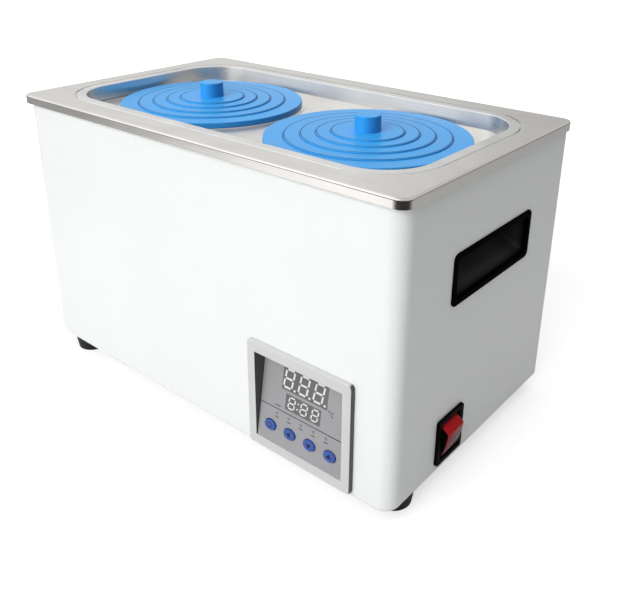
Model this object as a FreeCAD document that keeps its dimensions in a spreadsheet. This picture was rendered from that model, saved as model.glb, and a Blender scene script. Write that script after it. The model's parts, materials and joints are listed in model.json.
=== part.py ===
import FreeCAD, Part
import math
import os
import re
import Sketcher

# A two-hole thermostatic water bath.  Millimetres, +Z up, front at -Y,
# origin on the floor under the middle of the case.

SIZES = {
    # top frame and case
    "frame_length": 330, "frame_depth": 194, "frame_height": 203, "frame_skirt": 6,
    "frame_corner": 8, "frame_edge": 1.6, "sheet": 1, "overhang": 2.5,
    "frame_border_x": 14, "frame_border_y": 16, "opening_corner": 40, "mouth_gap": 4.5,
    "front_corner": 10, "rear_corner": 3, "bottom_edge": 3, "top_lip": 14, "bottom_lip": 10,
    "lip_corner": 4,
    "foot_height": 9, "foot_radius": 13, "foot_taper": 1.3, "foot_near": 14.5, "foot_far": 25,
    # tank, cover and shelf
    "rim_gap": 0.8, "rim_width": 7.2, "recess_drop": 12, "flange_width": 12,
    "ledge_width": 9, "tank_floor": 95, "tank_round": 8, "cover_gap": 0.8,
    "lid_margin": 3, "lid_gap": 1, "collar_margin": 3.2, "collar_width": 9, "collar_show": 3,
    "collar_rise": 0.8, "shelf_gap": 10, "shelf_rise": 25, "shelf_hole": 4, "shelf_corner": 3,
    "leg_inset": 12,
    "shelf_pitch_x": 17, "shelf_pitch_y": 20,
    # nested rings and their knobs
    "band_a": 12.5, "band_b": 10.5, "band_c": 10, "band_d": 9.5,
    "ring_step": 0.8, "ring_rebate": 1.4, "ring_ledge": 3, "ring_first": 3.2,
    "spigot_drop": 2, "ring_fit": 0.35, "ring_round": 0.5,
    "knob_radius": 8.5, "knob_height": 10.3, "knob_draft": 0.2, "knob_round": 0.8,
    "knob_bore": 2, "knob_bore_deep": 6,
    # side handles
    "handle_y": 3.5, "handle_z": 139, "handle_length": 93, "handle_height": 32.5,
    "handle_proud": 1.2, "handle_deep": 19, "handle_wall": 1.5, "handle_rim": 2.5,
    "handle_corner": 4, "handle_slope": 8,
    # rocker switch
    "switch_in": 60.7, "switch_z": 32.8, "bezel_wide": 28.5, "bezel_tall": 31.5,
    "bezel_proud": 2, "switch_wide": 25, "switch_tall": 28.4, "switch_deep": 17,
    "rocker_wide": 20, "rocker_reach": 12.5, "rocker_ridge": 10, "rocker_spread": 66,
    "rocker_throw": 12, "rocker_sunk": 6, "pin_radius": 1.2, "pin_fit": 0.05,
    "rocker_fit": 0.5, "rocker_skirt": 10, "rocker_hip": 42, "rocker_round": 0.6, "bezel_corner": 1.5,
    "blade_long": 10, "blade_thick": 0.8, "blade_wide": 5, "blade_y": 6, "blade_z": 7,
    # control panel
    "panel_in": 66.25, "panel_z": 50.5, "panel_length": 80.5, "panel_height": 75,
    "panel_proud": 3, "panel_corner": 3, "window_length": 67.5, "window_height": 60.5,
    "panel_tilt": 9, "plate_lip": 0.8, "plate_thick": 1.5,
    "plate_fit": 0.3, "tray_wall": 2.2, "tray_deep": 13, "back_length": 60,
    "back_height": 54, "button_pitch": 15.7, "button_up": 11.1, "button_long": 9.1,
    "button_short": 7, "button_proud": 1.2, "button_fit": 0.3,
    "button_flange": 0.7, "lamp_pitch": 9.7, "lamp_up": 20.7, "lamp_radius": 0.9,
    "big_up": 46.3, "big_long": 35, "big_tall": 15.4, "small_up": 31.3, "small_long": 27.2,
    "small_tall": 10.3, "board_gap": 5, "board_thick": 1.6, "board_long": 56,
    "board_low": 6, "board_tall": 46, "key_size": 6, "key_tall": 1.2, "stem_radius": 1.5,
    "stem_long": 1.6, "button_back": 1, "button_round": 0.7, "panel_round": 1,
    # heater, probe and insulation
    "heater_up": 17, "heater_half": 18, "heater_radius": 4, "heater_clear": 22,
    "heater_out": 8, "nut_radius": 9, "nut_thick": 5, "seal_radius": 8, "seal_thick": 2,
    "tube_fit": 0.2, "probe_y": 31, "probe_radius": 3, "probe_length": 66,
    "wool_thick": 4.5, "wool_low": 122, "pad_thick": 8, "pad_inset": 17,
    "cutout_radius": 12, "cutout_tall": 7, "cutout_gap": 3, "tab_wide": 10, "tab_long": 8,
    "tab_thick": 0.8,
    # mains inlet with its fuse drawer
    "inlet_in": 57.5, "inlet_z": 52, "inlet_long": 50, "inlet_tall": 36, "inlet_proud": 2.5,
    "inlet_body_long": 30, "inlet_body_tall": 32, "inlet_deep": 22, "socket_long": 24.6,
    "socket_tall": 16.9, "socket_deep": 17, "socket_up": 5, "drawer_long": 22,
    "drawer_tall": 8, "drawer_deep": 18, "drawer_up": -10.5, "drawer_fit": 0.3,
    "inlet_corner": 3, "inlet_screw_x": 20, "pin_wide": 2, "pin_tall": 4, "pin_long": 24,
    "pin_side": 7, "pin_step": 3, "pull_wide": 8, "pull_tall": 3, "pull_proud": 1,
    # power board
    "power_x": -30, "power_y": 5, "power_long": 110, "power_wide": 84, "spacer_tall": 8,
    "spacer_radius": 3, "spacer_inset": 5, "part_x": 28, "coil_x": 24,
    "core_long": 42, "core_wide": 22, "core_tall": 32, "coil_long": 28, "coil_wide": 38,
    "coil_tall": 26, "coil_up": 3, "bobbin_long": 32, "bobbin_wide": 34, "bobbin_tall": 4,
    "relay_long": 28, "relay_wide": 16, "relay_tall": 16, "relay_y": 18, "strip_long": 36,
    "strip_wide": 12, "strip_tall": 13, "strip_y": 30, "can_radius": 6, "can_tall": 20, "can_x": 12,
    "can_y": 8,
    # fasteners
    "screw_radius": 1.5, "screw_head": 2.8, "screw_head_tall": 1.8, "screw_length": 7,
    "bolt_radius": 2, "bolt_head": 3.6, "bolt_head_tall": 2.4, "hole_fit": 0.1,
    "bolt_nut": 4, "bolt_nut_tall": 3, "bolt_end": 1, "well_gap": 1, "well_deep": 5,
    "rear_margin": 6, "base_margin": 3.5, "rear_screw_in": 15, "rear_screw_edge": 10,
    "base_screw_x": 85, "base_screw_y": 48, "base_screw_edge": 6.75,
    # air slots
    "vent_pitch": 8, "vent_half": 1.6, "vent_round": 1.5, "rear_vent_x": -110, "rear_vent_z": 60,
    "rear_vent_long": 20, "base_vent_x": -96, "base_vent_long": 12, "base_vent_front": -55,
    "base_vent_rear": 62,
}

doc = FreeCAD.newDocument("water_bath")
sheet = doc.addObject("Spreadsheet::Sheet", "Sizes")
for row, (alias, value) in enumerate(SIZES.items(), start=1):
    sheet.set("A%d" % row, alias)
    sheet.set("B%d" % row, str(value))
    sheet.setAlias("B%d" % row, alias)
doc.recompute()

WORD = re.compile(r"[a-z][a-z_]*")
NODES = []


def ex(text):
    """Point every size named in the text at its cell of the sheet."""
    return WORD.sub(lambda hit: "Sizes." + hit[0] if hit[0] in SIZES else hit[0], str(text))


def number(text):
    return float(sheet.evalExpression(ex(text)))


def bind(item, path, text):
    item.setExpression(path, ex(text))


def place(item, x="0", y="0", z="0"):
    for axis, text in zip("xyz", (x, y, z)):
        bind(item, "Placement.Base." + axis, text)
    return item


def keep(item, name):
    """Mark a document object as a piece of the assembly under its node name."""
    item.Label = name
    NODES.append(item)
    return item


# Heights and half sizes that several pieces share.
CASE_HALF_X = "(frame_length / 2 - overhang)"
CASE_HALF_Y = "(frame_depth / 2 - overhang)"
CASE_BOTTOM = "(foot_height + sheet)"
CASE_TOP = "(frame_height - 2 * sheet)"
LEDGE = "(frame_height - recess_drop)"
OPEN_X = "(frame_length / 2 - frame_border_x)"
OPEN_Y = "(frame_depth / 2 - frame_border_y)"
RECESS_X = "(%s - rim_gap - rim_width)" % OPEN_X
RECESS_Y = "(%s - rim_gap - rim_width)" % OPEN_Y
RECESS_CORNER = "(opening_corner - rim_gap - rim_width)"
TANK_X = "(%s - ledge_width)" % RECESS_X
TANK_Y = "(%s - ledge_width)" % RECESS_Y
TANK_CORNER = "(%s - ledge_width)" % RECESS_CORNER
# The collars are as large as the recess lets two of them be side by side.
COLLAR = "min(%s - cover_gap - collar_margin; (%s - lid_margin) / 2 - lid_gap)" % (RECESS_Y, RECESS_X)
LID_X = "(%s - lid_margin - %s)" % (RECESS_X, COLLAR)
COVER_HOLE = "(%s - collar_width)" % COLLAR
RING_A = "(%s - collar_show)" % COLLAR
PANEL_X = "(frame_length / 2 - overhang - panel_in)"
SWITCH_Y = "(overhang + switch_in - frame_depth / 2)"
INLET_X = "(frame_length / 2 - overhang - inlet_in)"
COVER_TOP = "(frame_height - recess_drop + sheet)"
SEAT = "(frame_height - recess_drop + sheet + collar_rise)"
HEATER_Z = "(tank_floor + heater_up)"
REAR_LOW = "(foot_height + rear_margin)"
REAR_HIGH = "(frame_height - frame_skirt - 2 * sheet)"

NORMAL = {"XY": 1, "XZ": -1, "YZ": 1}


def new_body(name, kept=True):
    body = doc.addObject("PartDesign::Body", name)
    return keep(body, name) if kept else body


def sketch_on(body, face, level="0"):
    """A sketch on one of the body's own planes, at a level along that plane's axis."""
    sketch = body.newObject("Sketcher::SketchObject", body.Name + "_sketch")
    plane = [item for item in body.Origin.OriginFeatures if item.Role == face + "_Plane"][0]
    sketch.AttachmentSupport = (plane, [""])
    sketch.MapMode = "FlatFace"
    sign = "" if NORMAL[face] > 0 else "-"
    bind(sketch, "AttachmentOffset.Base.z", "%s(%s)" % (sign, level))
    sketch.addProperty("App::PropertyString", "Face").Face = face
    return sketch


def fix(sketch, kind, item, point, text):
    """One bound distance from the sketch origin to a point of an item."""
    index = sketch.addConstraint(Sketcher.Constraint(kind, -1, 1, item, point, number(text)))
    bind(sketch, "Constraints[%d]" % index, text)


def outline(sketch, points):
    """A closed outline through points given as pairs of expressions."""
    spots = [FreeCAD.Vector(number(x), number(y), 0) for x, y in points]
    count = len(spots)
    first = sketch.GeometryCount
    for step in range(count):
        sketch.addGeometry(Part.LineSegment(spots[step], spots[(step + 1) % count]))
    for step in range(count):
        after = first + (step + 1) % count
        sketch.addConstraint(Sketcher.Constraint("Coincident", first + step, 2, after, 1))
    for step, (x, y) in enumerate(points):
        fix(sketch, "DistanceX", first + step, 1, x)
        fix(sketch, "DistanceY", first + step, 1, y)
    return sketch


def box_outline(sketch, half_x, half_y, middle_x="0", middle_y="0"):
    left, right = "%s - (%s)" % (middle_x, half_x), "%s + (%s)" % (middle_x, half_x)
    low, high = "%s - (%s)" % (middle_y, half_y), "%s + (%s)" % (middle_y, half_y)
    return outline(sketch, [(left, low), (right, low), (right, high), (left, high)])


def round_outline(sketch, half_x, half_y, radius, middle_x="0", middle_y="0"):
    """A rectangle with four equal rounded corners."""
    hx, hy, r = number(half_x), number(half_y), number(radius)
    mx, my = number(middle_x), number(middle_y)
    first = sketch.GeometryCount
    corners = [(-1, -1, 180), (1, -1, 270), (1, 1, 0), (-1, 1, 90)]
    for step, (sx, sy, angle) in enumerate(corners):
        centre = FreeCAD.Vector(mx + sx * (hx - r), my + sy * (hy - r), 0)
        circle = Part.Circle(centre, FreeCAD.Vector(0, 0, 1), r)
        sketch.addGeometry(Part.ArcOfCircle(circle, math.radians(angle), math.radians(angle + 90)))
        nx, ny, unused = corners[(step + 1) % 4]
        after = FreeCAD.Vector(mx + nx * (hx - r), my + ny * (hy - r), 0)
        out = [FreeCAD.Vector(0, -r, 0), FreeCAD.Vector(r, 0, 0),
               FreeCAD.Vector(0, r, 0), FreeCAD.Vector(-r, 0, 0)][step]
        sketch.addGeometry(Part.LineSegment(centre + out, after + out))
    for step in range(4):
        arc, line = first + 2 * step, first + 2 * step + 1
        after = first + (2 * step + 2) % 8
        sketch.addConstraint(Sketcher.Constraint("Tangent", arc, 2, line, 1))
        sketch.addConstraint(Sketcher.Constraint("Tangent", line, 2, after, 1))
        flat = "Horizontal" if step % 2 == 0 else "Vertical"
        sketch.addConstraint(Sketcher.Constraint(flat, line))
        if step:
            sketch.addConstraint(Sketcher.Constraint("Equal", first, arc))
    index = sketch.addConstraint(Sketcher.Constraint("Radius", first, r))
    bind(sketch, "Constraints[%d]" % index, radius)
    fix(sketch, "DistanceY", first + 1, 1, "%s - (%s)" % (middle_y, half_y))
    fix(sketch, "DistanceX", first + 3, 1, "%s + (%s)" % (middle_x, half_x))
    fix(sketch, "DistanceY", first + 5, 1, "%s + (%s)" % (middle_y, half_y))
    fix(sketch, "DistanceX", first + 7, 1, "%s - (%s)" % (middle_x, half_x))
    return sketch


def circles(sketch, radius, centres):
    first = sketch.GeometryCount
    for step, (x, y) in enumerate(centres):
        centre = FreeCAD.Vector(number(x), number(y), 0)
        sketch.addGeometry(Part.Circle(centre, FreeCAD.Vector(0, 0, 1), number(radius)))
        fix(sketch, "DistanceX", first + step, 3, x)
        fix(sketch, "DistanceY", first + step, 3, y)
        index = sketch.addConstraint(Sketcher.Constraint("Radius", first + step, number(radius)))
        bind(sketch, "Constraints[%d]" % index, radius)
    return sketch


def feature(body, kind, sketch, length, along, both):
    item = body.newObject("PartDesign::" + kind, body.Name + "_" + kind.lower())
    item.Profile = sketch
    bind(item, "Length", length)
    outward = (along == "+") == (NORMAL[sketch.Face] > 0)
    item.Reversed = outward != (kind == "Pad")
    if both:
        item.SideType = "Symmetric"
    return item


def pad(body, sketch, length, along="+", both=False):
    """Add the sketch drawn out along its axis, one way or half each way."""
    return feature(body, "Pad", sketch, length, along, both)


def pocket(body, sketch, length, along="-", both=False):
    return feature(body, "Pocket", sketch, length, along, both)


def revolve(body, sketch):
    item = body.newObject("PartDesign::Revolution", body.Name + "_revolution")
    item.Profile = sketch
    item.ReferenceAxis = (sketch, ["V_Axis"])
    item.Angle = 360
    return item


def soften(body, radius, wanted, kind="Fillet"):
    """Round the edges of the body's last feature that the test picks."""
    doc.recompute()
    before = body.Tip
    names = ["Edge%d" % (step + 1) for step, edge in enumerate(before.Shape.Edges) if wanted(edge)]
    item = body.newObject("PartDesign::" + kind, body.Name + "_round")
    item.Base = (before, names)
    bind(item, "Radius" if kind == "Fillet" else "Size", radius)
    return item


def upright(edge):
    box = edge.BoundBox
    return box.ZLength > 2 and box.XLength < 1e-4 and box.YLength < 1e-4


def level_edges(z, reach_x=0, reach_y=0):
    """A test for edges that lie flat at one height and at least so far out."""
    height = number(z)
    far_x, far_y = number(reach_x), number(reach_y)

    def wanted(edge):
        box = edge.BoundBox
        middle = edge.CenterOfMass
        flat = abs(box.ZMin - height) < 1e-3 and abs(box.ZMax - height) < 1e-3
        return flat and (abs(middle.x) > far_x - 0.01 or abs(middle.y) > far_y - 0.01)
    return wanted


def block(name, half_x, half_y, tall, x="0", y="0", z="0"):
    """A plain box centred on x and y, standing on z."""
    item = doc.addObject("Part::Box", name)
    bind(item, "Length", "2 * (%s)" % half_x)
    bind(item, "Width", "2 * (%s)" % half_y)
    bind(item, "Height", tall)
    return place(item, "%s - (%s)" % (x, half_x), "%s - (%s)" % (y, half_y), z)


AXES = {"Z": None, "X": ((0, 1, 0), 90), "-X": ((0, 1, 0), -90),
        "Y": ((1, 0, 0), -90), "-Y": ((1, 0, 0), 90)}


def aim(item, axis):
    """Turn a piece that stands along Z to lie along another axis."""
    if axis == "-Z":
        item.Placement.Rotation = FreeCAD.Rotation(FreeCAD.Vector(1, 0, 0), 180)
    elif AXES[axis]:
        about, angle = AXES[axis]
        item.Placement.Rotation = FreeCAD.Rotation(FreeCAD.Vector(*about), angle)
    return item


def rod(name, radius, length, x="0", y="0", z="0", axis="Z"):
    item = doc.addObject("Part::Cylinder", name)
    bind(item, "Radius", radius)
    bind(item, "Height", length)
    return place(aim(item, axis), x, y, z)


def hexagon(name, radius, length, x, y, z, axis="Z"):
    item = doc.addObject("Part::Prism", name)
    item.Polygon = 6
    bind(item, "Circumradius", radius)
    bind(item, "Height", length)
    return place(aim(item, axis), x, y, z)


def minus(name, base, tools):
    item = doc.addObject("Part::Cut", name)
    item.Base = base
    item.Tool = tools[0] if len(tools) == 1 else gather(name + "_tools", tools)
    return item


def join(name, items):
    item = doc.addObject("Part::MultiFuse", name)
    item.Shapes = items
    return item


def gather(name, items):
    item = doc.addObject("Part::Compound", name)
    item.Links = items
    return item


def screws(name, spots, inward, size="screw", length="screw_length"):
    """Pan-head screws with a cross recess, under-head face on each spot."""
    outward = inward[1:] if inward.startswith("-") else "-" + inward
    made = []
    for step, spot in enumerate(spots):
        tag = "%s_%d" % (name, step)
        shank = rod(tag + "_shank", size + "_radius", length, *spot, axis=inward)
        head = rod(tag + "_head", size + "_head", size + "_head_tall", *spot, axis=outward)
        solid = join(tag + "_solid", [shank, head])
        recess = []
        for turn in range(2):
            slot = doc.addObject("Part::Box", "%s_slot_%d" % (tag, turn))
            bind(slot, "Length", size + "_head * 1.2")
            bind(slot, "Width", size + "_head * 0.24")
            bind(slot, "Height", size + "_head_tall")
            quarter = FreeCAD.Rotation(FreeCAD.Vector(0, 0, 1), 90 * turn)
            start = quarter.multVec(FreeCAD.Vector(-0.6, -0.12, 0.5))
            lean = FreeCAD.Rotation()
            if outward == "-Z":
                lean = FreeCAD.Rotation(FreeCAD.Vector(1, 0, 0), 180)
            elif AXES[outward]:
                lean = FreeCAD.Rotation(FreeCAD.Vector(*AXES[outward][0]), AXES[outward][1])
            slot.Placement.Rotation = lean.multiply(quarter)
            across = lean.multVec(FreeCAD.Vector(start.x, start.y, 0))
            rise = lean.multVec(FreeCAD.Vector(0, 0, 0.5))
            for axis, text, side, up in zip("xyz", spot, across, rise):
                where = "%s + %s_head * %.4f + %s_head_tall * %.4f" % (text, size, side, size, up)
                bind(slot, "Placement.Base." + axis, where)
            recess.append(slot)
        made.append(minus(tag, solid, recess))
    return keep(gather(name, made), name)


def build_top_frame():
    """Stainless frame: a flat top with a short skirt and one wide rounded opening."""
    body = new_body("top_frame")
    half_x, half_y = "frame_length / 2", "frame_depth / 2"
    low = "frame_height - frame_skirt"
    pad(body, round_outline(sketch_on(body, "XY", low), half_x, half_y, "frame_corner"), "frame_skirt")
    soften(body, "frame_edge", level_edges("frame_height"))
    inside = sketch_on(body, "XY", "frame_height - sheet")
    round_outline(inside, half_x + " - sheet", half_y + " - sheet", "frame_corner - sheet")
    pocket(body, inside, "frame_skirt")
    hole = sketch_on(body, "XY", "frame_height")
    round_outline(hole, OPEN_X, OPEN_Y, "opening_corner")
    pocket(body, hole, "2 * sheet")


def build_tank():
    """Drawn stainless tub: a flat rim, a shallow recess with a ledge, a deep tank below."""
    body = new_body("tank")
    flange_z = "frame_height - 2 * sheet"
    deep = sketch_on(body, "XY", "tank_floor - sheet")
    round_outline(deep, TANK_X + " + sheet", TANK_Y + " + sheet", TANK_CORNER + " + sheet")
    pad(body, deep, LEDGE + " - tank_floor + sheet")
    wide = sketch_on(body, "XY", LEDGE + " - sheet")
    round_outline(wide, RECESS_X + " + sheet", RECESS_Y + " + sheet", RECESS_CORNER + " + sheet")
    pad(body, wide, "recess_drop - sheet")
    flange = sketch_on(body, "XY", flange_z)
    round_outline(flange, RECESS_X + " + flange_width", RECESS_Y + " + flange_width",
                  RECESS_CORNER + " + flange_width")
    pad(body, flange, "sheet")
    rim = sketch_on(body, "XY", flange_z)
    round_outline(rim, OPEN_X + " - rim_gap", OPEN_Y + " - rim_gap", "opening_corner - rim_gap")
    pad(body, rim, "2 * sheet")
    recess = sketch_on(body, "XY", "frame_height")
    round_outline(recess, RECESS_X, RECESS_Y, RECESS_CORNER)
    pocket(body, recess, "recess_drop")
    inside = sketch_on(body, "XY", LEDGE)
    round_outline(inside, TANK_X, TANK_Y, TANK_CORNER)
    pocket(body, inside, LEDGE + " - tank_floor")
    soften(body, "tank_round", level_edges("tank_floor"))
    soften(body, "tank_round + sheet", level_edges("tank_floor - sheet"))
    soften(body, "sheet * 0.6", level_edges("frame_height"))
    heater_holes = sketch_on(body, "YZ", TANK_X + " / 2")
    circles(heater_holes, "heater_radius + tube_fit",
            [("heater_half", HEATER_Z), ("-heater_half", HEATER_Z)])
    pocket(body, heater_holes, TANK_X, along="+")
    probe_hole = sketch_on(body, "YZ", "-%s / 2" % TANK_X)
    circles(probe_hole, "probe_radius + tube_fit", [("probe_y", HEATER_Z)])
    pocket(body, probe_hole, TANK_X, along="-")


def build_cover():
    """Loose cover plate with two holes, each in a low raised collar."""
    body = new_body("cover_plate")
    spots = [("-" + LID_X, "0"), (LID_X, "0")]
    plate = sketch_on(body, "XY", LEDGE)
    round_outline(plate, RECESS_X + " - cover_gap", RECESS_Y + " - cover_gap", RECESS_CORNER + " - cover_gap")
    pad(body, plate, "sheet")
    pad(body, circles(sketch_on(body, "XY", COVER_TOP), COLLAR, spots), "collar_rise")
    under = circles(sketch_on(body, "XY", LEDGE), COLLAR + " - sheet", spots)
    pocket(body, under, "collar_rise", along="+")
    hole = circles(sketch_on(body, "XY", SEAT), COVER_HOLE, spots)
    pocket(body, hole, "3 * sheet + collar_rise")
    soften(body, "collar_rise / 2", level_edges(SEAT))


def build_rings(side, middle):
    """Four nested rings and a centre disc; each sits in the rebate of the one outside it."""
    radii = [RING_A]
    for band in ("band_a", "band_b", "band_c", "band_d"):
        radii.append("(%s - %s)" % (radii[-1], band))
    hole = COVER_HOLE
    seat = SEAT
    top = SEAT + " + ring_first"
    for step, radius in enumerate(radii):
        last = step == len(radii) - 1
        name = side + "_disc" if last else "%s_ring_%d" % (side, step + 1)
        body = new_body(name)
        low = seat + " - spigot_drop"
        spigot = hole + " - ring_fit"
        if last:
            inner = "%s - ring_ledge" % spigot
            under = top + " - spigot_drop"
            points = [("knob_bore + hole_fit", under), (inner, under), (inner, low), (spigot, low),
                      (spigot, seat), (radius, seat), (radius, top), ("knob_bore + hole_fit", top)]
        else:
            next_radius = radii[step + 1]
            hole = next_radius + " - ring_ledge"
            floor = top + " - ring_rebate"
            rebate = next_radius + " + ring_fit"
            points = [(hole, low), (spigot, low), (spigot, seat), (radius, seat),
                      (radius, top), (rebate, top), (rebate, floor), (hole, floor)]
        revolve(body, outline(sketch_on(body, "XZ"), points))
        soften(body, "ring_round", rim_at(top, radius))
        place(body, middle)
        if last:
            build_knob(side, middle, top)
        else:
            seat = floor
            top = top + " + ring_step"


def rim_at(z, radius):
    """A test for the round edge of one radius at one height."""
    height, reach = number(z), number(radius)

    def wanted(edge):
        round_edge = isinstance(edge.Curve, Part.Circle)
        if not round_edge or abs(edge.BoundBox.ZMax - height) > 1e-3:
            return False
        return abs(edge.BoundBox.ZMin - height) < 1e-3 and abs(edge.Curve.Radius - reach) < 1e-3
    return wanted


def build_knob(side, middle, top):
    """Plain round knob with a slight draft, held from below by one screw."""
    body = new_body(side + "_knob")
    bore_top = top + " + knob_bore_deep"
    crown = top + " + knob_height"
    slim = "knob_radius - knob_draft"
    points = [("0", bore_top), ("knob_bore", bore_top), ("knob_bore", top), ("knob_radius", top),
              (slim, crown), ("0", crown)]
    revolve(body, outline(sketch_on(body, "XZ"), points))
    soften(body, "knob_round", rim_at(crown, slim))
    place(body, middle)
    spot = (middle, "0", top + " - spigot_drop")
    screws(side + "_knob_screw", [spot], "Z", "bolt", "spigot_drop + knob_bore_deep * 0.7")


REAR_X = "(frame_length / 2 - overhang - rear_screw_edge)"
REAR_HEIGHTS = (REAR_LOW + " + rear_screw_in", "(%s + %s) / 2" % (REAR_LOW, REAR_HIGH),
                REAR_HIGH + " - rear_screw_in")
REAR_SPOTS = [(side + REAR_X, height) for side in ("-", "") for height in REAR_HEIGHTS]
REAR_SPOTS += [("0", "(foot_height + sheet + rear_screw_edge)"), ("0", "(frame_height - top_lip)")]
BASE_X = "(frame_length / 2 - overhang - base_screw_edge)"
BASE_Y = "(frame_depth / 2 - overhang - base_screw_edge)"
BASE_SPOTS = [(a + BASE_X, b + "base_screw_y") for a in ("-", "") for b in ("-", "")]
BASE_SPOTS += [(a + "base_screw_x", b + BASE_Y) for a in ("-", "") for b in ("-", "")]
# The feet are close to the front and back, apart from one that clears the control panel.
FOOT_SIDE = "(frame_length / 2 - overhang - foot_far)"
FOOT_EDGE = "(frame_depth / 2 - overhang - foot_near)"
CLEAR_SIDE = "(frame_length / 2 - overhang - foot_near)"
CLEAR_EDGE = "(frame_depth / 2 - overhang - foot_far)"
FOOT_SPOTS = {"front_left": ("-" + FOOT_SIDE, "-" + FOOT_EDGE), "front_right": (CLEAR_SIDE, "-" + CLEAR_EDGE),
              "rear_left": ("-" + FOOT_SIDE, FOOT_EDGE), "rear_right": (FOOT_SIDE, FOOT_EDGE)}


def straight_back(edge):
    """One of the case's two upright edges at the back."""
    return abs(edge.CenterOfMass.y - number(CASE_HALF_Y)) < 1e-3


def build_case():
    """Painted steel wrap: front and sides in one, with flanges all round the open back."""
    body = new_body("outer_case")
    tall = "%s - %s" % (CASE_TOP, CASE_BOTTOM)
    pad(body, box_outline(sketch_on(body, "XY", CASE_BOTTOM), CASE_HALF_X, CASE_HALF_Y), tall)
    soften(body, "front_corner", lambda edge: upright(edge) and edge.CenterOfMass.y < 0)
    soften(body, "rear_corner", lambda edge: upright(edge) and straight_back(edge))
    soften(body, "bottom_edge", level_edges(CASE_BOTTOM))
    cavity = sketch_on(body, "XY", CASE_BOTTOM + " + sheet")
    round_outline(cavity, CASE_HALF_X + " - sheet", CASE_HALF_Y + " - sheet", "front_corner - sheet")
    pocket(body, cavity, tall + " - 2 * sheet", along="+")
    mouth = sketch_on(body, "XY", CASE_TOP)
    reach = " + sheet + mouth_gap"
    round_outline(mouth, RECESS_X + reach, RECESS_Y + reach, RECESS_CORNER + reach)
    pocket(body, mouth, "4 * sheet")
    below = sketch_on(body, "XY", CASE_BOTTOM)
    round_outline(below, CASE_HALF_X + " - bottom_lip", CASE_HALF_Y + " - bottom_lip", "lip_corner")
    pocket(body, below, "4 * sheet", along="+")
    back = sketch_on(body, "XZ", CASE_HALF_Y)
    round_outline(back, CASE_HALF_X + " - top_lip", "(%s) / 2 - top_lip" % tall, "front_corner",
                  "0", "(%s + %s) / 2" % (CASE_TOP, CASE_BOTTOM))
    pocket(body, back, "4 * sheet")
    handles = sketch_on(body, "YZ")
    box_outline(handles, "(handle_length / 2 - handle_rim + ring_fit)",
                "(handle_height / 2 - handle_rim + ring_fit)", "handle_y", "handle_z")
    pocket(body, handles, "frame_length", both=True)
    switch = sketch_on(body, "YZ", "frame_length / 4")
    box_outline(switch, "(switch_wide / 2 + rocker_fit)", "(switch_tall / 2 + rocker_fit)",
                SWITCH_Y, "switch_z")
    pocket(body, switch, "frame_length / 4", along="+")
    panel = sketch_on(body, "XZ", "-frame_depth / 4")
    box_outline(panel, "(window_length / 2 + tray_wall + plate_fit)",
                "(window_height / 2 + tray_wall + plate_fit)", PANEL_X, "panel_z")
    pocket(body, panel, "frame_depth / 4", along="-")
    rear_holes = sketch_on(body, "XZ", CASE_HALF_Y)
    pocket(body, circles(rear_holes, "screw_radius + hole_fit", REAR_SPOTS), "4 * sheet")
    base_holes = sketch_on(body, "XY", CASE_BOTTOM)
    circles(base_holes, "screw_radius + hole_fit", BASE_SPOTS)
    pocket(body, base_holes, "4 * sheet", along="+")


def build_rear_panel():
    """Flat painted back with slots for cooling air and a cut-out for the mains inlet."""
    body = new_body("rear_panel")
    middle, half = "(%s + %s) / 2" % (REAR_LOW, REAR_HIGH), "(%s - %s) / 2" % (REAR_HIGH, REAR_LOW)
    plate = sketch_on(body, "XZ", CASE_HALF_Y)
    round_outline(plate, CASE_HALF_X + " - rear_margin", half, "rear_corner", "0", middle)
    pad(body, plate, "sheet")
    inlet = sketch_on(body, "XZ", CASE_HALF_Y + " + sheet")
    box_outline(inlet, "(inlet_body_long / 2 + ring_fit)", "(inlet_body_tall / 2 + ring_fit)",
                INLET_X, "inlet_z")
    pocket(body, inlet, "4 * sheet", along="-")
    holes = sketch_on(body, "XZ", CASE_HALF_Y + " + sheet")
    circles(holes, "screw_radius + hole_fit", REAR_SPOTS)
    pocket(body, holes, "4 * sheet", along="-")
    inlet_holes = sketch_on(body, "XZ", CASE_HALF_Y + " + sheet")
    spots = [(INLET_X + " - inlet_screw_x", "inlet_z"), (INLET_X + " + inlet_screw_x", "inlet_z")]
    pocket(body, circles(inlet_holes, "screw_radius + hole_fit", spots), "4 * sheet", along="-")
    slots(body, "XZ", CASE_HALF_Y + " + sheet", "rear_vent_x", "rear_vent_z", "rear_vent_long", 13)


def slots(body, face, level, start, across, reach, count):
    """A row of rounded air slots."""
    sketch = sketch_on(body, face, level)
    round_outline(sketch, "vent_half", reach, "vent_round", start, across)
    cut = pocket(body, sketch, "4 * sheet", along="-" if face == "XZ" else "+")
    doc.recompute()
    row = body.newObject("PartDesign::LinearPattern", body.Name + "_row")
    row.Originals = [cut]
    row.Direction = (sketch, ["H_Axis"])
    bind(row, "Length", "vent_pitch * %d" % (count - 1))
    row.Occurrences = count
    body.Tip = row


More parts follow.
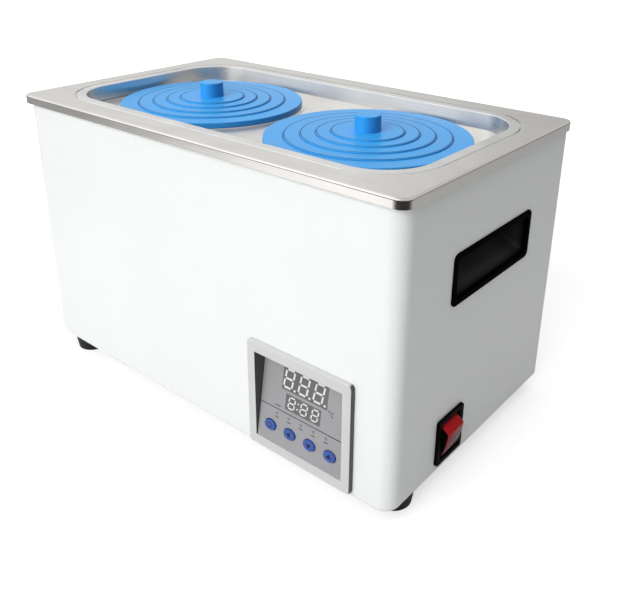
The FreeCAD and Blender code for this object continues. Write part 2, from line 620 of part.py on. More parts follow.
def build_base():
    """Bottom plate on the case's lower lip, four rubber feet, and their fasteners."""
    body = new_body("base_plate")
    half_x, half_y = CASE_HALF_X + " - base_margin", CASE_HALF_Y + " - base_margin"
    plate = sketch_on(body, "XY", "foot_height")
    pad(body, round_outline(plate, half_x, half_y, "front_corner"), "sheet")
    holes = sketch_on(body, "XY", "foot_height")
    circles(holes, "screw_radius + hole_fit", BASE_SPOTS)
    circles(holes, "bolt_radius + hole_fit", list(FOOT_SPOTS.values()))
    pocket(body, holes, "4 * sheet", along="+")
    for across in ("base_vent_front", "base_vent_rear"):
        slots(body, "XY", "foot_height", "base_vent_x", across, "base_vent_long", 12)
    screws("base_screws", [(x, y, "foot_height") for x, y in BASE_SPOTS], "Z")
    nuts = []
    for name, (x, y) in FOOT_SPOTS.items():
        cone = doc.addObject("Part::Cone", "foot_%s_cone" % name)
        bind(cone, "Radius1", "foot_radius - foot_taper")
        bind(cone, "Radius2", "foot_radius")
        bind(cone, "Height", "foot_height")
        place(cone, x, y)
        well = rod("foot_%s_well" % name, "bolt_head + well_gap", "well_deep", x, y)
        bore = rod("foot_%s_bore" % name, "bolt_radius + hole_fit", "foot_height", x, y)
        keep(minus("foot_" + name, cone, [join("foot_%s_tool" % name, [well, bore])]), "foot_" + name)
        nut = hexagon("foot_nut_%s_hex" % name, "bolt_nut", "bolt_nut_tall", x, y, CASE_BOTTOM)
        hole = rod("foot_nut_%s_bore" % name, "bolt_radius + hole_fit / 2", "bolt_nut_tall", x, y,
                   CASE_BOTTOM)
        nuts.append(minus("foot_nut_" + name, nut, [hole]))
    keep(gather("foot_nuts", nuts), "foot_nuts")
    spots = [(x, y, "well_deep") for x, y in FOOT_SPOTS.values()]
    screws("foot_screws", spots, "Z", "bolt", "foot_height - well_deep + sheet + bolt_nut_tall + bolt_end")
    spots = [(x, CASE_HALF_Y + " + sheet", z) for x, z in REAR_SPOTS]
    screws("rear_screws", spots, "-Y")


def build_handle(name, side):
    """Recessed grip: a flanged cup whose floor slopes up and in behind the flange."""
    body = new_body(name)
    half_y, half_z = "handle_length / 2", "handle_height / 2"
    in_y, in_z = "(handle_length / 2 - handle_rim)", "(handle_height / 2 - handle_rim)"
    pad(body, round_outline(sketch_on(body, "YZ"), half_y, half_z, "handle_corner"), "handle_proud")
    cup = outline(sketch_on(body, "XZ"), [
        ("0", "-%s" % in_z), ("-handle_deep - handle_wall", "-%s + handle_slope - handle_wall" % in_z),
        ("-handle_deep - handle_wall", in_z), ("0", in_z)])
    pad(body, cup, "2 * %s" % in_y, both=True)
    soften(body, "handle_corner - handle_rim + handle_wall",
           lambda edge: edge.CenterOfMass.x < -number("handle_deep") / 3)
    hollow = outline(sketch_on(body, "XZ"), [
        ("handle_proud * 2", "-%s + handle_wall" % in_z),
        ("0", "-%s + handle_wall" % in_z),
        ("-handle_deep", "-%s + handle_slope + handle_wall" % in_z),
        ("-handle_deep", "%s - handle_wall" % in_z),
        ("handle_proud * 2", "%s - handle_wall" % in_z)])
    pocket(body, hollow, "2 * (%s - handle_wall)" % in_y, both=True)
    soften(body, "handle_corner - handle_rim / 2", lambda edge: inside_cup(edge))
    soften(body, "handle_proud / 2", lambda edge: edge.BoundBox.XMin > number("handle_proud") - 1e-3)
    if side < 0:
        body.Placement.Rotation = FreeCAD.Rotation(FreeCAD.Vector(0, 0, 1), 180)
    place(body, ("" if side > 0 else "-") + CASE_HALF_X, "handle_y", "handle_z")


def inside_cup(edge):
    """The long edges round the bottom and the four corners of a handle's hollow."""
    deep, wall = number("handle_deep"), number("handle_wall")
    half = number("handle_length / 2 - handle_rim") - wall
    middle = edge.CenterOfMass
    at_floor = abs(edge.BoundBox.XMax + deep) < 1e-3 and abs(edge.BoundBox.XMin + deep) < 1e-3
    running_in = edge.BoundBox.XLength > 5 and abs(abs(middle.y) - half) < 0.1
    return at_floor or running_in


PIVOT_X = "(frame_length / 2 - overhang + bezel_proud - rocker_sunk)"


def build_switch():
    """Rocker switch: a black housing and a roof-shaped rocker on two pins."""
    body = new_body("switch_housing")
    face = sketch_on(body, "YZ")
    pad(body, round_outline(face, "bezel_wide / 2", "bezel_tall / 2", "bezel_corner"), "bezel_proud")
    pad(body, box_outline(sketch_on(body, "YZ"), "switch_wide / 2", "switch_tall / 2"), "switch_deep",
        along="-")
    well = sketch_on(body, "YZ", "bezel_proud")
    box_outline(well, "(rocker_wide / 2 + rocker_fit)", "(rocker_reach + rocker_fit)")
    pocket(body, well, "switch_deep")
    pins = sketch_on(body, "XZ")
    circles(pins, "pin_radius + pin_fit", [("bezel_proud - rocker_sunk", "0")])
    pocket(body, pins, "switch_wide - 2 * rocker_fit", both=True)
    place(body, CASE_HALF_X, SWITCH_Y, "switch_z")

    rocker = new_body("switch_rocker")
    spots = []
    for reach, angle in (("rocker_ridge", "0"), ("rocker_reach", "rocker_spread"),
                         ("rocker_skirt", "(rocker_spread + rocker_hip)"),
                         ("rocker_skirt", "(-rocker_spread - rocker_hip)"),
                         ("rocker_reach", "-rocker_spread")):
        turn = "(%s + rocker_throw)" % angle
        spots.append(("%s * cos(%s)" % (reach, turn), "%s * sin(%s)" % (reach, turn)))
    pad(rocker, outline(sketch_on(rocker, "XZ"), spots), "rocker_wide", both=True)
    soften(rocker, "rocker_round", lambda edge: edge.BoundBox.YLength > 5 and edge.CenterOfMass.x > 0)
    pin = circles(sketch_on(rocker, "XZ"), "pin_radius", [("0", "0")])
    pad(rocker, pin, "switch_wide - 2 * rocker_fit - 0.6", both=True)
    place(rocker, PIVOT_X, SWITCH_Y, "switch_z")

    blades = []
    for side in ("-", "+"):
        for up in ("-", "+"):
            blades.append(block("switch_blade_%d" % len(blades), "blade_long / 2", "blade_thick / 2",
                                "blade_wide", CASE_HALF_X + " - switch_deep - blade_long / 2",
                                "%s %s blade_y" % (SWITCH_Y, side),
                                "switch_z %s blade_z - blade_wide / 2" % up))
    keep(gather("switch_blades", blades), "switch_blades")


def build_panel():
    """Control panel: a bezel tray with a tilted plate, displays, lamps, buttons and a board."""
    body = new_body("panel_bezel")
    half_x, half_z = "window_length / 2", "window_height / 2"
    rise = "window_height * tan(panel_tilt)"
    floor_low = "-panel_proud + plate_lip + plate_thick / cos(panel_tilt)"
    front = round_outline(sketch_on(body, "XZ"), "panel_length / 2", "panel_height / 2", "panel_corner")
    pad(body, front, "panel_proud", along="-")
    soften(body, "panel_round", lambda edge: edge.BoundBox.YMax < number("-panel_proud") + 1e-3)
    tray = sketch_on(body, "XZ")
    box_outline(tray, "(%s + tray_wall)" % half_x, "(%s + tray_wall)" % half_z)
    pad(body, tray, "tray_deep", along="+")
    slope = outline(sketch_on(body, "YZ"), [
        ("-2 * panel_proud", "-" + half_z), (floor_low, "-" + half_z),
        ("%s + %s" % (floor_low, rise), half_z), ("-2 * panel_proud", half_z)])
    pocket(body, slope, "window_length", both=True)
    back = sketch_on(body, "XZ", "-panel_proud")
    box_outline(back, "(back_length / 2)", "(back_height / 2)")
    pocket(body, back, "4 * tray_deep", along="+")
    place(body, PANEL_X, "-" + CASE_HALF_Y, "panel_z")

    def lean(item):
        """Set a piece drawn in the plate's own frame onto the tilted plate."""
        item.Placement.Rotation = FreeCAD.Rotation(FreeCAD.Vector(-1, 0, 0), SIZES["panel_tilt"])
        bind(item, "Placement.Rotation.Angle", "panel_tilt")
        return place(item, PANEL_X, "-%s - panel_proud + plate_lip" % CASE_HALF_Y,
                     "panel_z - " + half_z)

    plate_half = "(%s - plate_fit)" % half_x
    plate_tall = "window_height / cos(panel_tilt) - 3 * plate_fit"
    board_y = "plate_thick + board_gap"
    button_spots = ["-1.5 * button_pitch", "-0.5 * button_pitch", "0.5 * button_pitch",
                    "1.5 * button_pitch"]
    lamp_spots = ["%d * lamp_pitch" % step for step in range(-2, 3)]

    def oval(name, grow, y, length):
        """An oval bar through each button's place, grown all round by an allowance."""
        made = []
        for step, x in enumerate(button_spots):
            ring = doc.addObject("Part::Ellipse", "%s_%d_ring" % (name, step))
            bind(ring, "MajorRadius", "button_long / 2 + " + grow)
            bind(ring, "MinorRadius", "button_short / 2 + " + grow)
            aim(ring, "-Y")
            place(ring, x, y, "button_up")
            bar = doc.addObject("Part::Extrusion", "%s_%d" % (name, step))
            bar.Base = ring
            bar.DirMode = "Custom"
            bar.Dir = FreeCAD.Vector(0, 1, 0)
            bind(bar, "LengthFwd", length)
            bar.Solid = True
            made.append(bar)
        return made

    plate = block("panel_plate_blank", plate_half, "plate_thick / 2", plate_tall, "0", "plate_thick / 2",
                  "plate_fit")
    tools = oval("plate_hole", "button_fit", "-plate_thick", "4 * plate_thick")
    for name in ("big", "small"):
        tools.append(block(name + "_hole", name + "_long / 2 + hole_fit", "2 * plate_thick",
                           name + "_tall + 2 * hole_fit", "0", "0",
                           "%s_up - %s_tall / 2 - hole_fit" % (name, name)))
    for step, x in enumerate(lamp_spots):
        tools.append(rod("lamp_hole_%d" % step, "lamp_radius + hole_fit", "4 * plate_thick", x,
                         "-plate_thick", "lamp_up", "Y"))
    keep(lean(minus("panel_plate", plate, tools)), "panel_plate")

    for name in ("big", "small"):
        deep = "(plate_thick + board_gap - hole_fit)"
        module = block(name + "_display_block", name + "_long / 2", deep + " / 2", name + "_tall", "0",
                       deep + " / 2 + hole_fit", "%s_up - %s_tall / 2" % (name, name))
        keep(lean(gather(name + "_display", [module])), name + "_display")
    lamps = [rod("lamp_%d" % step, "lamp_radius", board_y, x, "0", "lamp_up", "Y")
             for step, x in enumerate(lamp_spots)]
    keep(lean(gather("panel_lamps", lamps)), "panel_lamps")
    board = block("control_board_blank", "board_long / 2", "board_thick / 2", "board_tall", "0",
                  board_y + " + board_thick / 2", "board_low")
    switches = [block("tact_%d" % step, "key_size / 2", "key_tall / 2", "key_size", x,
                      board_y + " - key_tall / 2", "button_up - key_size / 2")
                for step, x in enumerate(button_spots)]
    keep(lean(gather("control_board", [board] + switches)), "control_board")

    caps = oval("button_cap", "0", "-button_proud", "button_proud + plate_thick + hole_fit")
    flanges = oval("button_back", "button_flange", "plate_thick + hole_fit", "button_back")
    for name, cap, flange in zip(("set", "left", "down", "up"), caps, flanges):
        stem = rod("button_stem_" + name, "stem_radius", "stem_long", button_spots[caps.index(cap)],
                   "plate_thick + hole_fit + button_back / 2", "button_up", "Y")
        solid = join("button_%s_solid" % name, [cap, flange, stem])
        doc.recompute()
        rounded = doc.addObject("Part::Fillet", "button_" + name)
        rounded.Base = solid
        front_y = -number("button_proud")
        soft = number("button_round")
        rounded.Edges = [(step + 1, soft, soft) for step, edge in enumerate(solid.Shape.Edges)
                         if edge.BoundBox.YMax < front_y + 1e-3]
        keep(lean(rounded), "button_" + name)


def build_tank_fittings():
    """Hairpin heater and probe through the tank's ends, cut-out, shelf and insulation."""
    turn = doc.addObject("Part::Torus", "heater_bend")
    bind(turn, "Radius1", "heater_half")
    bind(turn, "Radius2", "heater_radius")
    turn.Angle3 = 180
    turn.Placement.Rotation = FreeCAD.Rotation(FreeCAD.Vector(0, 0, 1), 90)
    bend = "(%s - heater_clear - heater_half - heater_radius)" % TANK_X
    place(turn, "-" + bend, "0", HEATER_Z)
    legs, tips, nuts, seals = [], [], [], []
    outside = TANK_X + " + sheet"
    for side in ("-", ""):
        y = side + "heater_half"
        tag = "right" if side else "left"
        legs.append(rod("heater_leg_" + tag, "heater_radius", "%s + heater_out + %s" % (TANK_X, bend),
                        "-" + bend, y, HEATER_Z, "X"))
        tips.append(rod("heater_tip_" + tag, "heater_radius * 0.4", "heater_out",
                        TANK_X + " + heater_out", y, HEATER_Z, "X"))
        nuts.append(collar("heater_nut_" + tag, True, "heater_radius", outside, y, "X"))
        seals.append(collar("heater_seal_" + tag, False, "heater_radius", TANK_X, y, "-X"))
    keep(join("heater_element", [turn] + legs + tips), "heater_element")
    keep(rod("probe", "probe_radius", "probe_length", "-%s - heater_out" % TANK_X, "probe_y",
             HEATER_Z, "X"), "temperature_probe")
    nuts.append(collar("probe_nut", True, "probe_radius", "-%s - sheet" % TANK_X, "probe_y", "-X"))
    seals.append(collar("probe_seal", False, "probe_radius", "-" + TANK_X, "probe_y", "X"))
    keep(gather("tank_nuts", nuts), "tank_nuts")
    keep(gather("tank_seals", seals), "tank_seals")

    wool = new_body("side_insulation")
    ring = sketch_on(wool, "XY", "wool_low")
    for grow in (" + sheet + hole_fit + wool_thick", " + sheet + hole_fit"):
        round_outline(ring, TANK_X + grow, TANK_Y + grow, TANK_CORNER + grow)
    pad(wool, ring, LEDGE + " - sheet - wool_low")

    low = "tank_floor - sheet - pad_thick"
    slab = block("floor_pad_blank", TANK_X + " - pad_inset", TANK_Y + " - pad_inset", "pad_thick",
                 "0", "0", low)
    hole = rod("floor_pad_hole", "cutout_radius + cutout_gap", "pad_thick", "0", "0", low)
    keep(minus("floor_insulation", slab, [hole]), "floor_insulation")
    can = rod("cutout_can", "cutout_radius", "cutout_tall", "0", "0",
              "tank_floor - sheet - cutout_tall")
    tab = block("cutout_tabs", "tab_wide / 2", "tab_thick / 2", "tab_long", "0", "0",
                "tank_floor - sheet - cutout_tall - tab_long")
    keep(join("thermal_cutout", [can, tab]), "thermal_cutout")

    shelf = new_body("tank_shelf")
    top = "tank_floor + shelf_rise"
    plate = sketch_on(shelf, "XY", top + " - sheet")
    round_outline(plate, TANK_X + " - shelf_gap", TANK_Y + " - shelf_gap", "shelf_corner")
    pad(shelf, plate, "sheet")
    legs = sketch_on(shelf, "XY", "tank_floor")
    for side in ("-", ""):
        box_outline(legs, TANK_X + " - shelf_gap - leg_inset", "sheet / 2", "0",
                    "%s(%s - shelf_gap - sheet / 2)" % (side, TANK_Y))
    pad(shelf, legs, "shelf_rise")
    column = sketch_on(shelf, "XY", top)
    circles(column, "shelf_hole", [("-6.5 * shelf_pitch_x", "%d * shelf_pitch_y" % step)
                                   for step in range(-2, 3)])
    holes = pocket(shelf, column, "2 * sheet")
    doc.recompute()
    row = shelf.newObject("PartDesign::LinearPattern", "shelf_row")
    row.Originals = [holes]
    row.Direction = (column, ["H_Axis"])
    bind(row, "Length", "13 * shelf_pitch_x")
    row.Occurrences = 14
    shelf.Tip = row


def collar(name, is_nut, tube, x, y, axis):
    """A hexagon nut or a round seal on a tube that passes through the tank wall."""
    thick = "nut_thick" if is_nut else "seal_thick"
    if is_nut:
        outer = hexagon(name + "_outer", "nut_radius", thick, x, y, HEATER_Z, axis)
    else:
        outer = rod(name + "_outer", "seal_radius", thick, x, y, HEATER_Z, axis)
    bore = rod(name + "_bore", tube + " + hole_fit", thick, x, y, HEATER_Z, axis)
    return minus(name, outer, [bore])


def build_inlet():
    """Mains inlet on the back: three pins in a socket and a fuse drawer below it."""
    body = new_body("inlet_socket")
    face = sketch_on(body, "XZ")
    pad(body, round_outline(face, "inlet_long / 2", "inlet_tall / 2", "inlet_corner"), "inlet_proud",
        along="+")
    pad(body, box_outline(sketch_on(body, "XZ"), "inlet_body_long / 2", "inlet_body_tall / 2"),
        "inlet_deep", along="-")
    socket = sketch_on(body, "XZ", "inlet_proud")
    half, tall = "socket_long / 2", "socket_tall / 2"
    outline(socket, [("-" + half, "socket_up - " + tall), (half, "socket_up - " + tall),
                     (half, "socket_up + socket_tall * 0.2"),
                     ("socket_long * 0.32", "socket_up + " + tall),
                     ("-socket_long * 0.32", "socket_up + " + tall),
                     ("-" + half, "socket_up + socket_tall * 0.2")])
    pocket(body, socket, "socket_deep", along="-")
    slot = sketch_on(body, "XZ", "inlet_proud")
    box_outline(slot, "drawer_long / 2", "drawer_tall / 2", "0", "drawer_up")
    pocket(body, slot, "drawer_deep + inlet_proud", along="-")
    holes = sketch_on(body, "XZ", "inlet_proud")
    circles(holes, "screw_radius + hole_fit", [("-inlet_screw_x", "0"), ("inlet_screw_x", "0")])
    pocket(body, holes, "4 * inlet_proud", along="-")
    back = CASE_HALF_Y + " + sheet"
    place(body, INLET_X, back, "inlet_z")
    spots = [("%s %s inlet_screw_x" % (INLET_X, sign), back + " + inlet_proud", "inlet_z")
             for sign in ("-", "+")]
    screws("inlet_screws", spots, "-Y")
    pins = []
    for step, (x, up) in enumerate((("- pin_side", "-"), ("+ pin_side", "-"), ("+ 0", "+"))):
        pins.append(block("inlet_pin_%d" % step, "pin_wide / 2", "pin_long / 2", "pin_tall",
                          "%s %s" % (INLET_X, x), back + " + inlet_proud - socket_deep",
                          "inlet_z + socket_up - pin_tall / 2 %s pin_step" % up))
    keep(gather("inlet_pins", pins), "inlet_pins")
    tray = block("fuse_drawer_body", "drawer_long / 2 - drawer_fit",
                 "(drawer_deep + inlet_proud - drawer_fit) / 2", "drawer_tall - 2 * drawer_fit", INLET_X,
                 back + " + (inlet_proud - drawer_deep + drawer_fit) / 2",
                 "inlet_z + drawer_up - drawer_tall / 2 + drawer_fit")
    pull = block("fuse_drawer_pull", "pull_wide / 2", "pull_proud / 2", "pull_tall", INLET_X,
                 back + " + inlet_proud + pull_proud / 2", "inlet_z + drawer_up - pull_tall / 2")
    keep(join("fuse_drawer", [tray, pull]), "fuse_drawer")


def build_power_board():
    """Power board on four spacers over the base plate, with its larger parts."""
    half_x, half_y = "power_long / 2", "power_wide / 2"
    top = CASE_BOTTOM + " + spacer_tall + board_thick"
    spacers = []
    for side in ("-", "+"):
        for edge in ("-", "+"):
            spacers.append(rod("spacer_%d" % len(spacers), "spacer_radius", "spacer_tall",
                               "power_x %s (power_long / 2 - spacer_inset)" % side,
                               "power_y %s (power_wide / 2 - spacer_inset)" % edge, CASE_BOTTOM))
    keep(gather("board_spacers", spacers), "board_spacers")
    keep(block("power_board", half_x, half_y, "board_thick", "power_x", "power_y",
               CASE_BOTTOM + " + spacer_tall"), "power_board")
    stack = []
    for name, up in (("core", "0"), ("coil", "coil_up"), ("bobbin", "0")):
        stack.append(block("transformer_" + name, name + "_long / 2", name + "_wide / 2", name + "_tall",
                           "power_x - coil_x", "power_y", "%s + %s" % (top, up)))
    keep(join("transformer", stack), "transformer")
    relay = block("relay_box", "relay_long / 2", "relay_wide / 2", "relay_tall", "power_x + part_x",
                  "power_y + relay_y", top)
    terminals = block("terminal_strip", "strip_long / 2", "strip_wide / 2", "strip_tall",
                      "power_x + part_x", "power_y - strip_y", top)
    can = rod("capacitor_can", "can_radius", "can_tall", "power_x + can_x", "power_y - can_y", top)
    keep(gather("board_parts", [relay, terminals, can]), "board_parts")


def build():
    build_top_frame()
    build_tank()
    build_cover()
    build_rings("left", "-" + LID_X)
    build_rings("right", LID_X)
    build_case()
    build_rear_panel()
    build_base()
    build_handle("left_handle", -1)
    build_handle("right_handle", 1)
    build_switch()
    build_panel()
    build_tank_fittings()
    build_inlet()
    build_power_board()
    doc.recompute()
    for item in doc.Objects:
        if "Invalid" in item.State or "Error" in item.State:
            raise RuntimeError("%s did not rebuild: %s" % (item.Name, item.State))
    os.makedirs("parts", exist_ok=True)
    for item in NODES:
        if item.Shape.isNull() or not item.Shape.isValid():
            raise RuntimeError(item.Label + " has no valid shape")
        item.Shape.exportStep("parts/%s.step" % item.Label)


build()
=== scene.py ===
import json
import math

import bmesh
import bpy
from mathutils import Matrix, Vector


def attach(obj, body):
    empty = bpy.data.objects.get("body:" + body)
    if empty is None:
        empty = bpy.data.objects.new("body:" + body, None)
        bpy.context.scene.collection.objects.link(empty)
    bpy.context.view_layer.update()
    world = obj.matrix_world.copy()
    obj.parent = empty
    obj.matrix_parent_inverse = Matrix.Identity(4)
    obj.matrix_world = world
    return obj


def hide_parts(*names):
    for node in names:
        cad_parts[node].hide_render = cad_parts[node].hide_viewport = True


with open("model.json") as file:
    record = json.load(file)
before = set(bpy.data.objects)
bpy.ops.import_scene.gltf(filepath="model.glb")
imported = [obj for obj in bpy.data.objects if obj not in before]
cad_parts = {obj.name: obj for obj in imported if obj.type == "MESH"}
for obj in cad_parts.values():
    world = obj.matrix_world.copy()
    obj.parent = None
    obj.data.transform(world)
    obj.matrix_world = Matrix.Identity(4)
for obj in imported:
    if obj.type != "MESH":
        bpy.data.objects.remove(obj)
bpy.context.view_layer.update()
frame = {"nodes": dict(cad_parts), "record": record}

MM = 0.001

# Control panel: where its tilted plate stands, then millimetres on the plate, x across and y up.
PLATE_ORIGIN = Vector((96.25, -96.7, 20.25)) * MM
PLATE_TILT = math.radians(9)
PLATE_WIDTH = 66.9
BUTTON_PITCH = 15.7
BUTTON_UP = 11.1
BUTTON_PROUD = 1.2
LAMP_PITCH = 9.7
LAMP_UP = 20.7
DIVIDER_UP = 23.6
DIVIDER_BAR = 0.55

# Printing: thickness of the ink, also of the painted shade lines on the lids, and where it lies from the
# plate's face.
STROKE_DEPTH = 0.06
INK_LIFT = 0.02
DISPLAY_SINK = -0.08

# Digits of the two displays, with the width of a bar and the gap at its ends.
DIGIT_SLANT = 0.14
BIG_UP = 46.3
BIG_MIDDLES = (-11.6, 0.0, 11.6)
BIG_SHIFT = -1.0
BIG_WIDTH, BIG_HEIGHT = 6.4, 12.0
BIG_BAR, BIG_GAP = 1.35, 0.75
BIG_DOT, BIG_DOT_X = 1.5, 3.9
SMALL_UP = 31.3
SMALL_MIDDLES = (-8.9, 0.6, 9.2)
SMALL_WIDTH, SMALL_HEIGHT = 4.6, 7.4
SMALL_BAR, SMALL_GAP = 0.95, 0.55
COLON_X, COLON_RISE, COLON_DOT = -4.1, 1.9, 1.1

# Small marks: a stroke under each lamp, two longer strokes and the degree sign.
MARK_BAR = 0.6
LAMP_MARK_DROP, LAMP_MARK_HALF = 2.6, 1.5
LONG_MARKS = (((20.0, 23.6), (29.5, 23.6)), ((-21.5, 26.0), (-17.0, 26.0)))
SIGN_BAR = 0.4
SIGN_RING, SIGN_RING_RADIUS = (19.4, 38.6), 0.55
SIGN_ARC, SIGN_ARC_WIDE, SIGN_ARC_HIGH = (22.0, 37.2), 1.2, 1.6
SYMBOL_BAR = 0.55

# Nested pieces of a lid: name, body and outer radius; and the line of painted shade round each, standing
# for the shaded gap between the pieces.
NESTED = (("ring_2", "ring_2", 53.5), ("ring_3", "ring_3", 43.0), ("ring_4", "ring_4", 33.0),
          ("disc", "lid", 23.5))
LID_X = 71.0
SHADE_LINE_WIDTH = 0.55
SHADE_LINE_IN = 0.75
SHADE_LINE_STEPS = 96

# Rocker cap: its pivot, then millimetres from it, out of the case and up, with the upper end pressed in.
ROCKER_PIVOT = Vector((158.5, -33.8, 32.8)) * MM
ROCKER_RIDGE = Vector((9.8, 6.4))
ROCKER_TOP = Vector((0.5, 12.0))
ROCKER_FOOT = Vector((5.8, -10.8))
ROCKER_BACK = (Vector((-5.0, -8.0)), Vector((-5.0, 9.5)))
ROCKER_HALF = 9.0
ROCKER_EDGE = 0.7
FINGER_DISH = 0.6
DISH_STEPS = 8
PIN_RADIUS = 1.2
PIN_END = 11.7
PIN_SINK = 0.3
PIN_SIDES = 32
EDGE_STEPS = 3
EDGE_ANGLE = math.radians(25)
SHARP_ANGLE = math.radians(35)
CHEEK_FACING = 0.9

# Millimetres from the case's middle: where a grip's paler cup, painted as if lit, starts to darken into
# the rim's painted shade, and where it is fully dark.
GRIP_MOUTH = 156.0
GRIP_RIM = 161.5
GRIP_RIM_SHADE_BLACK = (0.0015, 0.0015, 0.0016, 1)
GRIP_CUP_SHINE, GRIP_RIM_SHINE = 0.4, 0.002

# Lamps, in metres and watts: name, place, aim, size and power.
LAMPS = (("front_light", (0.0, -2.3, 1.5), (0, 0, 0.1), 2.0, 63.5),
         ("top_light", (-0.3, 0.3, 2.2), (0, 0, 0.2), 3.0, 30),
         ("side_light", (2.4, 0.3, 0.9), (0, 0, 0.1), 1.4, 2.2))
FLOOR_REACH = 12.0

# Floor, in metres from its middle. A fade holds where it starts and ends, and its value at each.
FLOOR_GREY = 0.56
FLOOR_LIFT = (0.3, 1.2, 0.6, 1.0)
CORNER_SIDE = (0.64, -0.77, 0)
CORNER_FADE = (0.36, 0.5, 0.0, 1.0)
CORNER_DARK = (0.02, 0.018, 0.016, 1)
FLOOR_LEFT = (-0.75, -0.3, 0.40, 0.85)
FLOOR_RIGHT = (0.15, 0.4, 1.0, 0.66)
GLOW_LEFT = (-0.6, -0.25, 0.0, 0.4)
GLOW_RIGHT = (0.0, 0.2, 1.0, 0.0)

# Room that reflections show, with fades by direction.
ROOM_DIM = 0.22
ROOM_RISE = (0.0, 0.3, 0.25, 0.95)
ROOM_SLOPE = (-0.38, -0.56, 0.72, 1.1)
SOFT_BOX_SIDE = (-0.34, -0.80, 0.50)
SOFT_BOX_FADE = (0.7, 0.95, 0.0, 0.7)

# Camera that matches the photograph.
CAMERA_AZIMUTH = math.radians(39.334)
CAMERA_ELEVATION = math.radians(22.410)
CAMERA_ROLL = math.radians(0.493)
CAMERA_DISTANCE = 559.83 * MM
CAMERA_SIDE = 27.42 * MM
CAMERA_RISE = 17.16 * MM
CAMERA_TARGET = Vector((0, 0, 0.1))
SENSOR_WIDTH = 36
LENS = 43.081
SHIFT_X = -0.0045
SHIFT_Y = -0.1170

# Noise values lie mostly between these two.
NOISE_LOW, NOISE_HIGH = 0.3, 0.7

# Textures, with depths in metres.
GRAIN_DEPTH = 0.0002
ROUGH_LOW, ROUGH_HIGH = 0.88, 1.12
LINE_DARK, LINE_PALE = 0.93, 1.05
LINE_STRENGTH, LINE_DEPTH = 0.06, 0.00005
SMEAR_LOW, SMEAR_HIGH = 0.85, 1.2
FLAT_START = 0.85
RIPPLE_STRETCH = (1.0, 1.0, 0.25)
RIPPLE_SCALE, RIPPLE_DEPTH = 38.0, 0.002


# Shader nodes

def feed(tree, value, socket):
    """Link another node's output to a socket, or set the socket to a constant."""
    if isinstance(value, bpy.types.NodeSocket):
        tree.links.new(value, socket)
    else:
        socket.default_value = value


def map_range(tree, source, start, end, low=0.0, high=1.0):
    """A value taken from one range to another and held at both ends."""
    node = tree.nodes.new("ShaderNodeMapRange")
    for label, value in (("Value", source), ("From Min", start), ("From Max", end),
                         ("To Min", low), ("To Max", high)):
        feed(tree, value, node.inputs[label])
    return node.outputs["Result"]


def work_out(tree, kind, operation, values):
    node = tree.nodes.new(kind)
    node.operation = operation
    for socket, value in zip(node.inputs, values):
        feed(tree, value, socket)
    return node.outputs


def calculate(tree, operation, *numbers):
    """A number from numbers, such as a sum."""
    return work_out(tree, "ShaderNodeMath", operation, numbers)["Value"]


def combine(tree, operation, *vectors):
    """A vector from vectors, such as a sum or a unit vector."""
    return work_out(tree, "ShaderNodeVectorMath", operation, vectors)["Vector"]


def measure(tree, operation, *vectors):
    """A number from vectors: a length, or how far one points along another."""
    return work_out(tree, "ShaderNodeVectorMath", operation, vectors)["Value"]


def split(tree, vector):
    node = tree.nodes.new("ShaderNodeSeparateXYZ")
    tree.links.new(vector, node.inputs["Vector"])
    return node.outputs


def mix(tree, kind, factor, first, second):
    """Blend two numbers (FLOAT) or two colours (RGBA)."""
    node = tree.nodes.new("ShaderNodeMix")
    node.data_type = kind
    for label, value in (("Factor", factor), ("A", first), ("B", second)):
        feed(tree, value, node.inputs[label])
    return node.outputs["Result"]


def bump(tree, height, strength, distance, normal=None):
    node = tree.nodes.new("ShaderNodeBump")
    node.inputs["Strength"].default_value = strength
    node.inputs["Distance"].default_value = distance
    tree.links.new(height, node.inputs["Height"])
    if normal is not None:
        tree.links.new(normal, node.inputs["Normal"])
    return node.outputs["Normal"]


def new_tree(name):
    """An empty material with a Principled shader wired to its output."""
    material = bpy.data.materials.new(name)
    material.use_nodes = True
    tree = material.node_tree
    tree.nodes.clear()
    output = tree.nodes.new("ShaderNodeOutputMaterial")
    shader = tree.nodes.new("ShaderNodeBsdfPrincipled")
    tree.links.new(shader.outputs["BSDF"], output.inputs["Surface"])
    return material, tree, shader


def effect_group(name, inputs, outputs):
    """A shader group with named number inputs and outputs."""
    group = bpy.data.node_groups.new(name, "ShaderNodeTree")
    for label, value in inputs:
        socket = group.interface.new_socket(label, in_out="INPUT", socket_type="NodeSocketFloat")
        socket.default_value = value
    for label in outputs:
        group.interface.new_socket(label, in_out="OUTPUT", socket_type="NodeSocketFloat")
    entry = group.nodes.new("NodeGroupInput")
    leave = group.nodes.new("NodeGroupOutput")
    return group, entry, leave


def make_speckle_group():
    """Fine moulded or sprayed texture, and a broad slow drift of tone."""
    group, entry, leave = effect_group("speckle", [("Grain", 900.0), ("Drift", 14.0)],
                                       ["Grain", "Drift"])
    place = group.nodes.new("ShaderNodeTexCoord")
    grain = group.nodes.new("ShaderNodeTexNoise")
    grain.inputs["Detail"].default_value = 3.0
    drift = group.nodes.new("ShaderNodeTexNoise")
    drift.inputs["Detail"].default_value = 4.0
    drift.inputs["Roughness"].default_value = 0.6
    for noise, label in ((grain, "Grain"), (drift, "Drift")):
        group.links.new(place.outputs["Object"], noise.inputs["Vector"])
        group.links.new(entry.outputs[label], noise.inputs["Scale"])
        group.links.new(noise.outputs["Fac"], leave.inputs[label])
    return group


